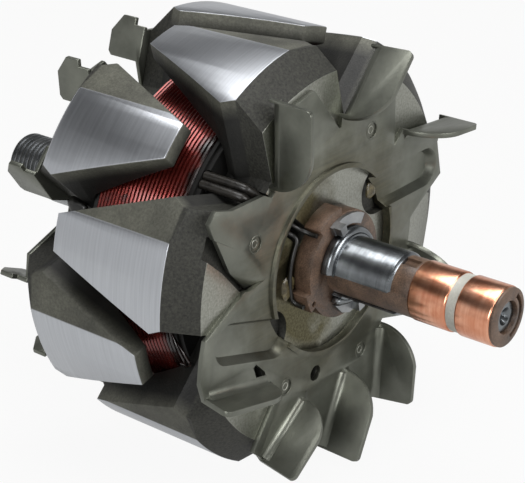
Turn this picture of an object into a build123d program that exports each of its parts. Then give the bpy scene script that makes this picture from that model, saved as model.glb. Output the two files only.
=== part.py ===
# Claw-pole rotor of a vehicle alternator.
# The shaft lies along Y, with the slip rings towards -Y and the threaded drive end towards +Y.
# +Z is up, and the rotor rests on its claws. The origin is on the shaft's axis, at the middle
# of the bearing seat beside the slip rings. All lengths are in millimetres.
# Angles are in degrees round the axis, from +X towards +Z.
import os
from math import atan2, cos, degrees, hypot, radians, sin

from build123d import *

# Driving dimensions: the pole pack
POLE_RADIUS = 52.5
CLAWS = 6
FIRST_CLAW = 45.0
PACK_START = 15.0
PACK_END = 68.0
POLE_BORE_RADIUS = 8.75
DISC_THICKNESS = 12.4
HUB_RADIUS = 33.5
SHOULDER_LENGTH = 6.1
SHOULDER_DROP = 6.7
CLAW_REACH = 32.4
CLAW_HALF_ANGLE = 16.95
BASE_HALF_ANGLE = 15.24
CLAW_SHOULDER = 3.2
TIP_HALF_WIDTH = 4.4
TIP_THICKNESS = 4.0
ROOT_THICKNESS = 11.2
ROOT_SLOPE = 2.0
BEVEL_START = 5.6
BEVEL_DEPTH = 1.7
LEAD_GROOVE_WIDTH = 4.7
LEAD_GROOVE_DEPTH = 4.2
BALANCE_CUT_RADIUS = 42.2
BALANCE_CUT = (326.0, 366.0)
PIN_HOLE_DEPTH = 6.0
RELIEF_POCKET_DEPTH = 3.0

# Driving dimensions: the coil
WINDING_DEPTH = 13.0
BOBBIN_WALL = 1.2
BOBBIN_GAP = 0.3
WINDING_GAP = 0.1
WINDING_CROWN = 0.9

# Driving dimensions: the shaft
SEAT_RADIUS = 7.5
SEAT_LENGTH = 15.0
COLLAR_SEAT_RADIUS = 8.0
SPIGOT_RADIUS = 3.9
SHAFT_END = -33.2
CENTRE_HOLE_RADIUS = 2.1
CENTRE_HOLE_DEPTH = 5.0
DRIVE_SEAT_RADIUS = 8.5
DRIVE_SEAT_END = 102.6
THREAD_RADIUS = 7.34
THREAD_START = 104.6
THREAD_LENGTH = 11.7
RUN_OUT_RADIUS = 6.8
END_CHAMFER = 1.0

# Driving dimensions: slip rings and their moulding
RING_RADIUS = 7.1
RING_WALL = 1.1
INNER_RING_START = -12.1
INNER_RING_WIDTH = 10.0
SPACER_WIDTH = 2.3
SPACER_RADIUS = 6.75
OUTER_RING_WIDTH = 9.0
CAP_THICKNESS = 0.6
RING_EDGE_BREAK = 0.3
NECK_RADIUS = 6.9
LEG_ANGLE = 205.0
LEG_WIDTH = 7.2
LEG_FLOOR = 4.2
FLANGE_RADIUS = 13.1
LUG_RADIUS = 14.8
LOWER_LUG = (194.0, 213.0)
UPPER_LUG = (96.0, 130.0)
LUG_HOLE = (13.1, 208.0)
LUG_HOLE_RADIUS = 0.7
END_POCKET_DEPTH = 1.6

# Driving dimensions: lead bars, terminals and coil leads
BAR_WIDTH = 2.0
BAR_THICKNESS = 0.7
BAR_OFFSET = 1.7
BAR_INSULATION = 0.75
BAR_BED = 0.5
HOOK_THICKNESS = 0.9
HOOK_WIDTH = 2.6
HOOK_GAP = 0.5
HOOK_TAB = 3.0
UPPER_HOOK = (60.0, 118.0)
UPPER_TAB_ANGLE = 112.0
LOWER_HOOK = [
    (10.1, 244.0), (12.0, 262.0), (13.0, 276.0), (12.9, 291.0), (10.5, 292.0), (10.1, 280.0), (10.1, 268.0),
    (10.1, 256.0),
]
LOWER_TAB_ANGLE = 286.0
WIRE_RADIUS = 0.55
SLEEVE_RADIUS = 1.05
LEAD_ANGLE = 138.2
LEAD_SPACING = 2.2
LEAD_DEPTH = 1.8
LEAD_CLIMB = 2.4
LOWER_LEAD_TURN = (153.0, 166.0, 179.0, 192.0, 204.0)

# Driving dimensions: stop ring and drive-end spacer
STOP_RING_RADIUS = 9.6
STOP_RING_LENGTH = 2.8
STOP_RING_GAP = 30.0
SPACER_SLEEVE_RADIUS = 12.0
SPACER_SLEEVE_LENGTH = 5.0

# Driving dimensions: fans
FAN_SHEET = 1.2
FAN_HOLE_RADIUS = 22.4
FAN_LIP_HEIGHT = 0.9
FAN_ROOT_RADIUS = 32.4
BLADE_INNER_ROUND = 8.5
BLADE_CORNER = 1.4
WELD_CIRCLE_RADIUS = 31.7
WELD_RADIUS = 2.2
WELD_DEPTH = 0.4
BEND_RADIUS = 1.8
CHANNEL_DEPTH = 2.2
CHANNEL_WIDTH = 10.0
CHANNEL_SLOPE = 32.0
FAN_HOLE_SMALL = 1.95
WING_DROP = 1.9
DRIVE_BLADE_INNER_RADIUS = 39.4
DRIVE_BLADE_HEIGHT = 9.2
DRIVE_SPOKE_STEP = 3.5
BLADE_CUT = (4.2, 3.2)
BLADE_NOTCH = (1.8, 1.6)

# The slip-ring-end fan. Each row: the blade's inner end and outer end as (radius, angle), its
# height, how far its outer edge leans outward, then the spoke's edge from there back to the root.
SLIP_FAN = [
    ((33.5, 131.8), (51.0, 116.2), 10.2, -0.5, [(45.0, 112.0), (44.6, 100.0), (FAN_ROOT_RADIUS, 87.0)]),
    ((34.9, 85.4), (51.2, 72.5), 10.2, 0.4, [(47.0, 69.0), (46.0, 58.4), (FAN_ROOT_RADIUS, 41.5)]),
    (
        (37.2, 41.0), (51.4, 26.4), 10.0, 0.0,
        [(46.4, 21.0), (46.0, 9.5), (40.2, 6.4), (36.7, 4.0), (FAN_ROOT_RADIUS, 359.4)],
    ),
    ((33.0, 348.4), (50.0, 332.5), 10.0, 0.0, [(46.5, 329.0), (46.0, 322.0), (FAN_ROOT_RADIUS, 312.0)]),
    ((33.2, 310.6), (49.8, 293.6), 11.1, -1.6, [(47.6, 291.0), (47.0, 287.6), (FAN_ROOT_RADIUS, 283.4)]),
    ((32.8, 281.6), (50.2, 267.2), 11.0, 0.2, [(47.4, 264.6), (46.6, 261.4), (FAN_ROOT_RADIUS, 253.4)]),
    ((34.8, 252.6), (50.4, 239.6), 10.0, 1.4, [(49.2, 236.6), (48.8, 232.8), (36.3, 233.2), (FAN_ROOT_RADIUS, 226.5)]),
    ((33.8, 223.8), (49.6, 201.6), 8.4, 2.4, [(49.4, 195.6), (47.4, 189.0), (45.8, 184.0), (FAN_ROOT_RADIUS, 173.4)]),
]
SLIP_FAN_PLAIN_SPOKE = [
    (30.0, 172.0), (36.2, 157.2), (46.8, 155.0), (50.0, 151.6), (49.2, 147.8), (44.0, 146.0), (35.4, 136.0),
    (30.0, 133.0),
]
SLIP_FAN_SLIT = [(46.8, 155.2), (36.2, 157.2), (25.4, 170.5), (30.6, 173.9), (32.9, 173.4), (45.8, 184.0)]
WING_BEND = [(46.0, 155.2), (36.2, 157.2), (25.4, 170.5)]
WING_FREE = [(36.2, 166.0), (30.3, 173.6)]
POLE_POCKET = [
    (46.9, 154.6), (46.9, 160.8), (40.0, 165.0), (33.0, 173.6), (30.6, 175.4), (25.0, 172.0), (25.0, 169.6),
    (36.0, 156.4),
]
SLIP_FAN_WELDS = [62.3, 153.8, 237.0, 293.3]
SLIP_FAN_CHANNELS = [((17.2, 41.0), (44.5, 14.7)), ((17.0, 199.0), (44.6, 198.0))]
SLIP_FAN_SMALL_HOLE = (28.4, 257.8)
SLIP_FAN_RELIEF = [(33.7, 209.4), (32.6, 209.2), (31.7, 217.0), (32.9, 222.6), (34.6, 222.2), (34.6, 215.6)]

# The drive-end fan: the outer end of each blade as (radius, angle), and the inner end's angle.
DRIVE_FAN_BLADES = [
    (48.9, 94.0, 99.3), (49.3, 118.8, 125.9), (49.2, 152.8, 160.8), (48.9, 184.8, 192.6), (49.0, 216.0, 223.4),
    (49.0, 247.0, 254.4), (49.0, 282.0, 289.4), (49.0, 311.0, 318.4), (49.0, 344.0, 351.4), (49.0, 22.0, 29.4),
    (49.0, 58.0, 65.4),
]
DRIVE_FAN_WELDS = [15.0, 135.0, 255.0]

# Places worked out from the driving dimensions
SEAT_START = -SEAT_LENGTH / 2
SEAT_END = SEAT_LENGTH / 2
INNER_RING_END = INNER_RING_START - INNER_RING_WIDTH
OUTER_RING_START = INNER_RING_END - SPACER_WIDTH
OUTER_RING_END = OUTER_RING_START - OUTER_RING_WIDTH
CAP_END = OUTER_RING_END - CAP_THICKNESS
RING_BORE = RING_RADIUS - RING_WALL
COIL_START = PACK_START + DISC_THICKNESS
COIL_END = PACK_END - DISC_THICKNESS
PACK_MIDDLE = (PACK_START + PACK_END) / 2
LAND_START = PACK_START + SHOULDER_LENGTH
CLAW_TIP = LAND_START + CLAW_REACH
CLAW_HALF_WIDTH = POLE_RADIUS * sin(radians(CLAW_HALF_ANGLE))
BASE_HALF_WIDTH = POLE_RADIUS * sin(radians(BASE_HALF_ANGLE))
THREAD_END = THREAD_START + THREAD_LENGTH
STOP_RING_END = SEAT_END + STOP_RING_LENGTH
FLANGE_END = PACK_START
CLAW_INNER_RADIUS = POLE_RADIUS - ROOT_THICKNESS
BOBBIN_FLANGE_RADIUS = CLAW_INNER_RADIUS - ROOT_SLOPE - BOBBIN_GAP
WINDING_RADIUS = CLAW_INNER_RADIUS - WINDING_GAP
CORE_RADIUS = WINDING_RADIUS - WINDING_DEPTH - BOBBIN_WALL
LEAD_RADIUS = BOBBIN_FLANGE_RADIUS + WIRE_RADIUS - SLEEVE_RADIUS
LEAD_TURN_RADIUS = LUG_RADIUS + WIRE_RADIUS + 0.15
SPACER_SLEEVE_START = PACK_END
SPACER_SLEEVE_END = SPACER_SLEEVE_START + SPACER_SLEEVE_LENGTH


def polar(radius, angle):
    """The (x, z) point at a radius and an angle round the shaft."""
    return radius * cos(radians(angle)), radius * sin(radians(angle))


def station(y):
    """A drawing plane square to the shaft at y, with the drawing's x and y along X and Z."""
    return Plane(origin=(0, y, 0), x_dir=(1, 0, 0), z_dir=(0, -1, 0))


def slab(section, start, end):
    """A section drawn in (x, z), made solid from one station to another."""
    return extrude(station(start) * section, amount=end - start, dir=(0, 1, 0))


def ring(inner, outer, start, end):
    """A plain ring or, with no inner radius, a disc."""
    section = Circle(outer)
    if inner > 0:
        section = section - Circle(inner)
    return slab(section, start, end)


def turning(points):
    """A turned solid from a profile of (radius, y) points."""
    return revolve(make_face(Polyline(*points, close=True)), axis=Axis.Y)


def turned(shape, angle):
    """A shape drawn for angle 0, moved round the shaft."""
    return Rot(Y=-angle) * shape


def sector(inner, outer, first, last):
    """A flat piece of a ring between two angles."""
    middle = (first + last) / 2
    outline = [
        ThreePointArc(polar(outer, first), polar(outer, middle), polar(outer, last)),
        Line(polar(outer, last), polar(inner, last)),
        ThreePointArc(polar(inner, last), polar(inner, middle), polar(inner, first)),
        Line(polar(inner, first), polar(outer, first)),
    ]
    return make_face(Wire(outline))


def claw():
    """One claw at angle 0, with the piece of the disc that carries it."""
    tip_inner = POLE_RADIUS - TIP_THICKNESS
    face_radius = POLE_RADIUS - SHOULDER_DROP
    profile = turning([
        (HUB_RADIUS - 8, PACK_START),
        (face_radius, PACK_START),
        (POLE_RADIUS, LAND_START),
        (POLE_RADIUS, CLAW_TIP),
        (tip_inner, CLAW_TIP),
        (CLAW_INNER_RADIUS, COIL_START + ROOT_SLOPE),
        (CLAW_INNER_RADIUS - ROOT_SLOPE, COIL_START),
        (HUB_RADIUS - 8, COIL_START),
    ])
    widest = LAND_START + CLAW_SHOULDER
    outline = make_face(Polyline(
        (PACK_START - 1, -BASE_HALF_WIDTH),
        (LAND_START, -BASE_HALF_WIDTH),
        (widest, -CLAW_HALF_WIDTH),
        (CLAW_TIP, -TIP_HALF_WIDTH),
        (CLAW_TIP, TIP_HALF_WIDTH),
        (widest, CLAW_HALF_WIDTH),
        (LAND_START, BASE_HALF_WIDTH),
        (PACK_START - 1, BASE_HALF_WIDTH),
        close=True,
    ))
    seen_from_outside = Plane(origin=(HUB_RADIUS - 12, 0, 0), x_dir=(0, 1, 0), z_dir=(1, 0, 0))
    prism = extrude(seen_from_outside * outline, amount=POLE_RADIUS, dir=(1, 0, 0))
    blank = profile & prism
    bevel_radius = (POLE_RADIUS ** 2 - BEVEL_START ** 2) ** 0.5
    edge_radius = (POLE_RADIUS ** 2 - CLAW_HALF_WIDTH ** 2) ** 0.5 - BEVEL_DEPTH
    fall = (bevel_radius - edge_radius) / (CLAW_HALF_WIDTH - BEVEL_START)
    reach = 4.0
    bevel = make_face(Polyline(
        (bevel_radius, -BEVEL_START),
        (edge_radius - fall * reach, -CLAW_HALF_WIDTH - reach),
        (POLE_RADIUS + reach, -CLAW_HALF_WIDTH - reach),
        (POLE_RADIUS + reach, -BEVEL_START),
        close=True,
    ))
    return blank - slab(bevel, LAND_START - 8, CLAW_TIP + 1)


def pole_blank():
    """Disc, hub and six claws of the slip-ring end, before its own pockets."""
    body = ring(POLE_BORE_RADIUS, HUB_RADIUS, PACK_START, COIL_START)
    one = claw()
    for index in range(CLAWS):
        body = body + turned(one, FIRST_CLAW + index * 360 / CLAWS)
    return body - ring(0, POLE_BORE_RADIUS, PACK_START - 1, COIL_START + 1)


def polygon(points):
    """A flat outline through (radius, angle) points."""
    return make_face(Polyline(*[polar(*point) for point in points], close=True))


def balance_cut():
    """What is ground off one claw's shoulder, a cone that just reaches the outer face."""
    outer = POLE_RADIUS + 2
    rise = (outer - BALANCE_CUT_RADIUS) * SHOULDER_LENGTH / (POLE_RADIUS - BALANCE_CUT_RADIUS)
    cone = turning([
        (BALANCE_CUT_RADIUS, PACK_START),
        (outer, PACK_START + rise),
        (outer, PACK_START - 1),
        (BALANCE_CUT_RADIUS, PACK_START - 1),
    ])
    first, last = BALANCE_CUT
    reach = slab(polygon([(0.0, 0.0), (outer * 1.2, first), (outer * 1.2, last)]), PACK_START - 1, LAND_START + 2)
    return cone & reach


def pole_half_slip_end():
    """Forged half next to the slip rings, with its lead groove and room for the fan's pressings."""
    body = pole_blank()
    length = HUB_RADIUS + 6 - FLANGE_RADIUS
    groove = Pos(FLANGE_RADIUS + length / 2, 0) * Rectangle(length, LEAD_GROOVE_WIDTH)
    body = body - turned(slab(groove, PACK_START - 1, PACK_START + LEAD_GROOVE_DEPTH), LEAD_ANGLE)
    for first, last in SLIP_FAN_CHANNELS:
        footprint = channel_face(first, last, CHANNEL_WIDTH + 2 * FAN_SHEET)
        body = body - slab(footprint, PACK_START - 1, PACK_START + CHANNEL_DEPTH + 0.2)
    body = body - balance_cut()
    x, z = polar(*SLIP_FAN_SMALL_HOLE)
    body = body - slab(Pos(x, z) * Circle(FAN_HOLE_SMALL), PACK_START - 1, PACK_START + PIN_HOLE_DEPTH)
    body = body - slab(polygon(SLIP_FAN_RELIEF), PACK_START - 1, PACK_START + RELIEF_POCKET_DEPTH)
    return body - slab(polygon(POLE_POCKET), PACK_START - 1, PACK_START + WING_DROP + 0.2)


def pole_half_drive_end():
    """The same forging turned end for end and set half a claw pitch round."""
    other = mirror(pole_blank(), about=Plane(origin=(0, PACK_MIDDLE, 0), x_dir=(1, 0, 0), z_dir=(0, -1, 0)))
    return turned(other, 180 / CLAWS)


def field_core():
    """Steel ring on the shaft that joins the two halves inside the coil."""
    return ring(POLE_BORE_RADIUS, CORE_RADIUS, COIL_START, COIL_END)


def coil_bobbin():
    """Moulded spool between the halves."""
    barrel = CORE_RADIUS + BOBBIN_WALL
    body = turning([
        (CORE_RADIUS, COIL_START),
        (BOBBIN_FLANGE_RADIUS, COIL_START),
        (BOBBIN_FLANGE_RADIUS, COIL_START + BOBBIN_WALL),
        (barrel, COIL_START + BOBBIN_WALL),
        (barrel, COIL_END - BOBBIN_WALL),
        (BOBBIN_FLANGE_RADIUS, COIL_END - BOBBIN_WALL),
        (BOBBIN_FLANGE_RADIUS, COIL_END),
        (CORE_RADIUS, COIL_END),
    ])
    notch = Pos(LEAD_RADIUS + 1, 0) * Rectangle(2 * SLEEVE_RADIUS + 2.4, LEAD_GROOVE_WIDTH)
    return body - turned(slab(notch, COIL_START - 1, COIL_START + BOBBIN_WALL), LEAD_ANGLE)


def field_winding():
    """The wound copper, lower at its two ends than along its middle."""
    inner = CORE_RADIUS + BOBBIN_WALL
    start = COIL_START + BOBBIN_WALL
    end = COIL_END - BOBBIN_WALL
    edge = WINDING_RADIUS - WINDING_CROWN
    taper = (end - start) / 4
    return turning([
        (inner, start),
        (edge, start),
        (WINDING_RADIUS, start + taper),
        (WINDING_RADIUS, end - taper),
        (edge, end),
        (inner, end),
    ])


def leg_section(height):
    """Section of a moulding leg: flat floor, straight sides, as high as the given radius."""
    block = Pos((LEG_FLOOR + height + 2) / 2, 0) * Rectangle(height + 2 - LEG_FLOOR, LEG_WIDTH)
    return block & Circle(height)


def rotor_shaft():
    """Turned shaft with a groove for the moulding's leg and a centre hole in its slip-ring end."""
    chamfer_start = SHAFT_END + 0.5
    body = turning([
        (0, SHAFT_END),
        (SPIGOT_RADIUS - 0.5, SHAFT_END),
        (SPIGOT_RADIUS, chamfer_start),
        (SPIGOT_RADIUS, SEAT_START),
        (SEAT_RADIUS - 0.6, SEAT_START),
        (SEAT_RADIUS, SEAT_START + 0.6),
        (SEAT_RADIUS, SEAT_END),
        (COLLAR_SEAT_RADIUS, SEAT_END),
        (COLLAR_SEAT_RADIUS, FLANGE_END),
        (POLE_BORE_RADIUS, FLANGE_END),
        (POLE_BORE_RADIUS, SPACER_SLEEVE_END),
        (DRIVE_SEAT_RADIUS, SPACER_SLEEVE_END),
        (DRIVE_SEAT_RADIUS, DRIVE_SEAT_END - 0.6),
        (DRIVE_SEAT_RADIUS - 0.6, DRIVE_SEAT_END),
        (RUN_OUT_RADIUS, DRIVE_SEAT_END),
        (RUN_OUT_RADIUS, THREAD_START),
        (THREAD_RADIUS, THREAD_START + THREAD_RADIUS - RUN_OUT_RADIUS),
        (THREAD_RADIUS, THREAD_END - END_CHAMFER),
        (THREAD_RADIUS - END_CHAMFER, THREAD_END),
        (0, THREAD_END),
    ])
    body = body - turned(slab(leg_section(SEAT_RADIUS + 2), SEAT_START - 1, FLANGE_END), LEG_ANGLE)
    drill = turning([
        (0, SHAFT_END),
        (CENTRE_HOLE_RADIUS, SHAFT_END),
        (CENTRE_HOLE_RADIUS * 0.5, SHAFT_END + CENTRE_HOLE_RADIUS),
        (CENTRE_HOLE_RADIUS * 0.5, SHAFT_END + CENTRE_HOLE_DEPTH),
        (0, SHAFT_END + CENTRE_HOLE_DEPTH + 0.6),
    ])
    return body - drill


def lead_bar(start, top, side, hook_angle):
    """Flat copper strip along the leg, out through the collar and round to its terminal hook."""
    strip = Pos(top - BAR_THICKNESS / 2, side * BAR_OFFSET) * Rectangle(BAR_THICKNESS, BAR_WIDTH)
    bed = STOP_RING_END + BAR_BED
    bar = slab(strip & Circle(RING_BORE), start, bed + BAR_THICKNESS)
    inner = STOP_RING_RADIUS + HOOK_GAP + 0.4
    outer = inner + 1.0
    foot = top - BAR_THICKNESS
    radial = Pos((foot + outer) / 2, side * BAR_OFFSET) * Rectangle(outer - foot, BAR_WIDTH)
    bar = turned(bar + slab(radial, bed, bed + BAR_THICKNESS), LEG_ANGLE)
    reach = side * 9
    first, last = sorted((LEG_ANGLE + reach, hook_angle + side * 3))
    bar = bar + slab(sector(inner, outer, first, last), bed, bed + BAR_THICKNESS)
    return bar + slab(sector(inner, outer, hook_angle - 3, hook_angle + 3), STOP_RING_END, bed)


def lead_bar_inner():
    """Strip that rises against the bore of the inner ring."""
    return lead_bar(INNER_RING_END + 3.0, RING_BORE - 0.5, 1, LOWER_HOOK[1][1])


def lead_bar_outer():
    """Strip that runs deeper, under the inner ring, and steps up against the outer ring."""
    start = OUTER_RING_END + 3.0
    top = RING_BORE - BAR_INSULATION
    bar = lead_bar(start, top, -1, UPPER_HOOK[1] - 5)
    step = Pos(RING_BORE, -BAR_OFFSET) * Rectangle(2 * BAR_INSULATION, BAR_WIDTH)
    return bar + turned(slab(step & Circle(RING_BORE), start, start + 3.0), LEG_ANGLE)


def slip_ring(start, width):
    """Copper ring with broken outer edges; start is its edge nearer the bearing."""
    end = start - width
    return turning([
        (RING_BORE, start),
        (RING_RADIUS - RING_EDGE_BREAK, start),
        (RING_RADIUS, start - RING_EDGE_BREAK),
        (RING_RADIUS, end + RING_EDGE_BREAK),
        (RING_RADIUS - RING_EDGE_BREAK, end),
        (RING_BORE, end),
    ])


def slip_ring_moulding():
    """Brown moulded body: sleeve under the rings, neck, leg and the collar with its lugs."""
    body = ring(SPIGOT_RADIUS, RING_BORE, OUTER_RING_END, INNER_RING_START)
    body = body + ring(SPIGOT_RADIUS, NECK_RADIUS, INNER_RING_START, SEAT_START)
    body = body + ring(SPIGOT_RADIUS, RING_RADIUS - 0.25, CAP_END, OUTER_RING_END)
    pocket = sector(SPIGOT_RADIUS + 0.9, RING_RADIUS - 1.2, -75, 50)
    body = body - slab(pocket, CAP_END, CAP_END + END_POCKET_DEPTH)
    collar = ring(COLLAR_SEAT_RADIUS, FLANGE_RADIUS, STOP_RING_END, FLANGE_END)
    for first, last in (LOWER_LUG, UPPER_LUG):
        collar = collar + slab(sector(SEAT_RADIUS + 1, LUG_RADIUS, first, last), STOP_RING_END, FLANGE_END)
    body = body + collar
    body = body + turned(slab(leg_section(NECK_RADIUS), SEAT_START, STOP_RING_END), LEG_ANGLE)
    body = body + turned(slab(leg_section(SEAT_RADIUS + 1), STOP_RING_END, FLANGE_END), LEG_ANGLE)
    body = body - lead_bar_inner() - lead_bar_outer()
    notch_floor = NECK_RADIUS - 0.9
    notch = Pos(NECK_RADIUS, 0) * Rectangle(2 * (NECK_RADIUS - notch_floor), 2.6)
    body = body - turned(slab(notch, INNER_RING_START + 0.6, SEAT_START), 103)
    x, z = polar(*LUG_HOLE)
    return body - slab(Pos(x, z) * Circle(LUG_HOLE_RADIUS), STOP_RING_END, STOP_RING_END + 2.5)


def slip_ring_spacer():
    """Pale insulating ring between the two copper rings."""
    sleeve = ring(RING_BORE, SPACER_RADIUS, OUTER_RING_START, INNER_RING_END)
    return sleeve


def bearing_stop_ring():
    """Bright rolled ring behind the bearing seat, open where the leg of the moulding passes."""
    profile = turning([
        (COLLAR_SEAT_RADIUS, SEAT_END),
        (STOP_RING_RADIUS - 0.8, SEAT_END),
        (STOP_RING_RADIUS, SEAT_END + 0.8),
        (STOP_RING_RADIUS, STOP_RING_END),
        (COLLAR_SEAT_RADIUS, STOP_RING_END),
    ])
    opening = sector(0.5, STOP_RING_RADIUS + 1, LEG_ANGLE - STOP_RING_GAP, LEG_ANGLE + STOP_RING_GAP)
    return profile - slab(opening, SEAT_END - 1, STOP_RING_END + 1)


def terminal_hook(outline, tab_angle):
    """Tinned strip lying on the collar's face, with a tab bent up at its end."""
    inner = STOP_RING_RADIUS + HOOK_GAP
    strip = slab(outline, STOP_RING_END - HOOK_THICKNESS, STOP_RING_END)
    tab = sector(inner + 0.3, inner + HOOK_WIDTH, tab_angle - 5, tab_angle + 5)
    return strip + slab(tab, STOP_RING_END - HOOK_TAB, STOP_RING_END)


def terminal_hook_upper():
    """The terminal at the top, a strip of even width round the collar."""
    inner = STOP_RING_RADIUS + HOOK_GAP
    return terminal_hook(sector(inner, inner + HOOK_WIDTH, *UPPER_HOOK), UPPER_TAB_ANGLE)


def in_groove(radius, y, across):
    """A point in the lead groove, at a radius and a little to one side of the groove's middle."""
    x, z = polar(radius, LEAD_ANGLE)
    step_x, step_z = polar(across, LEAD_ANGLE + 90)
    return x + step_x, y, z + step_z


def groove_run(side, inner):
    """Points of a lead from the coil's side, out between two claws and in along the pole's groove."""
    across = side * LEAD_SPACING / 2
    depth = PACK_START + LEAD_DEPTH
    start = COIL_START + BOBBIN_WALL
    points = [(LEAD_RADIUS, start), (LEAD_RADIUS, depth), (inner, depth)]
    return [in_groove(radius, y, across) for radius, y in points]


def cord(points, radius):
    """A round cord with plain corners through a row of points."""
    path = Polyline(*points)
    section = Plane(origin=path @ 0, z_dir=path % 0) * Circle(radius)
    return sweep(section, path=path, transition=Transition.RIGHT)


def coil_lead_upper():
    """Winding's end that stands up beside the collar, next to the upper terminal."""
    inner = FLANGE_RADIUS + WIRE_RADIUS + 0.1
    points = groove_run(-1, inner)
    x, y, z = points[-1]
    return cord(points + [(x, STOP_RING_END + 1.0, z)], WIRE_RADIUS)


def coil_lead_lower():
    """Winding's end that climbs out of the groove and follows the collar round to the lower lug."""
    resting = PACK_START - WIRE_RADIUS
    points = groove_run(1, LEAD_TURN_RADIUS + LEAD_CLIMB)
    points.append(in_groove(LEAD_TURN_RADIUS + 0.2, resting, LEAD_SPACING / 2))
    for angle in LOWER_LEAD_TURN:
        x, z = polar(LEAD_TURN_RADIUS, angle)
        points.append((x, resting, z))
    points.append((x, STOP_RING_END + 1.0, z))
    return cord(points, WIRE_RADIUS)


def lead_sleeve(side):
    """Woven sleeve over the stretch of a lead between the coil and the fan's eye."""
    points = groove_run(side, FLANGE_RADIUS + 8.4)
    return cord(points, SLEEVE_RADIUS) - cord(points, WIRE_RADIUS)


def channel_face(first, last, width):
    """Footprint of a pressed channel between two (radius, angle) points."""
    start = Vector(*polar(*first))
    end = Vector(*polar(*last))
    middle = (start + end) / 2
    direction = end - start
    angle = Vector(1, 0).get_signed_angle(direction)
    return Pos(middle.X, middle.Y) * Rot(Z=angle) * SlotOverall(direction.length, width)


def channel_body(first, last, width, start, depth):
    """Trough with sloping walls and a flat floor, open at its wide side."""
    footprint = station(start) * channel_face(first, last, width)
    return extrude(footprint, amount=depth, dir=(0, 1, 0), taper=CHANNEL_SLOPE)


def short_of(outer, inner, distance):
    """The (radius, angle) point that lies a distance back from the outer one, towards the inner one."""
    end = Vector(*polar(*outer))
    point = end + (Vector(*polar(*inner)) - end).normalized() * distance
    return hypot(point.X, point.Y), degrees(atan2(point.Y, point.X))


def spoke(inner, outer, edge):
    """Flat outline of one spoke, from its blade's bend line round to the next notch."""
    points = [(0, 0), polar(*inner), polar(*outer)]
    points = points + [polar(*point) for point in edge]
    return make_face(Polyline(*points, close=True))


def bend_plane(inner, outer, start, towards):
    """Plane standing on a bend line, its y pointing the way the blade stands."""
    foot = Vector(*polar(*inner))
    along = (Vector(*polar(*outer)) - foot).normalized()
    x_dir = Vector(along.X, 0, along.Y)
    return Plane(origin=(foot.X, start, foot.Y), x_dir=x_dir, z_dir=x_dir.cross(Vector(0, towards, 0)))


def upright(inner, outer, start, towards, outline):
    """Sheet blade with the given outline, its thickness on the spoke's side of the bend line."""
    plane = bend_plane(inner, outer, start, towards)
    face = plane * make_face(Wire(outline))
    spoke_side = Vector(plane.x_dir.Z, 0, -plane.x_dir.X)
    return extrude(face, amount=FAN_SHEET, dir=spoke_side)


def bend(inner, outer, start, towards, corner, radius):
    """Sliver between a square corner and its round, along a blade's bend line."""
    plane = bend_plane(inner, outer, start, towards)
    length = (Vector(*polar(*outer)) - Vector(*polar(*inner))).length
    spoke_side = Vector(plane.x_dir.Z, 0, -plane.x_dir.X)
    across = Plane(origin=plane.origin, x_dir=spoke_side, z_dir=spoke_side.cross(Vector(0, towards, 0)))
    far = corner + radius
    middle = far - radius * cos(radians(45))
    outline = [
        Line((corner, corner), (far, corner)),
        ThreePointArc((far, corner), (middle, middle), (corner, far)),
        Line((corner, far), (corner, corner)),
    ]
    sliver = extrude(across * make_face(Wire(outline)), amount=length - 1.4, dir=plane.x_dir)
    return Pos(plane.x_dir * 0.8) * sliver


def swept_blade(inner, outer, rise, lean):
    """Outline of a slip-end blade: big round at its inner end, small round at its free corner."""
    length = (Vector(*polar(*outer)) - Vector(*polar(*inner))).length
    tip = length + lean
    top = tip - BLADE_CORNER
    shoulder = rise - BLADE_CORNER
    return [
        ThreePointArc((0, 0), (BLADE_INNER_ROUND * 0.2, rise * 0.64), (BLADE_INNER_ROUND, rise)),
        Line((BLADE_INNER_ROUND, rise), (top, rise)),
        ThreePointArc((top, rise), (tip - BLADE_CORNER * 0.3, rise - BLADE_CORNER * 0.3), (tip, shoulder)),
        Line((tip, shoulder), (length, 0)),
        Line((length, 0), (0, 0)),
    ]


def straight_blade(inner, outer, rise):
    """Outline of a drive-end blade: square, one corner cut, a notch beside the bend."""
    length = (Vector(*polar(*outer)) - Vector(*polar(*inner))).length
    cut_along, cut_down = BLADE_CUT
    notch_in, notch_high = BLADE_NOTCH
    notch_foot = FAN_SHEET + 0.4
    points = [
        (0, 0),
        (0, rise - 1.0),
        (1.0, rise),
        (length - cut_along, rise),
        (length, rise - cut_down),
        (length, notch_foot + notch_high),
        (length - notch_in, notch_foot + notch_high),
        (length - notch_in, 0),
    ]
    return Polyline(*points, close=True).edges()


def wing():
    """Strip of the plain spoke's sheet that is bent back towards the pole, in flat facets."""
    front = PACK_START - FAN_SHEET
    bend = [Vector(polar(*point)[0], front, polar(*point)[1]) for point in WING_BEND]
    free = [Vector(polar(*point)[0], front + WING_DROP, polar(*point)[1]) for point in WING_FREE]
    facets = [(bend[0], bend[1], free[0]), (bend[1], bend[2], free[0]), (bend[2], free[1], free[0])]
    body = None
    for corners in facets:
        piece = extrude(make_face(Polyline(*corners, close=True)), amount=FAN_SHEET, dir=(0, 1, 0))
        body = piece if body is None else body + piece
    return body


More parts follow.
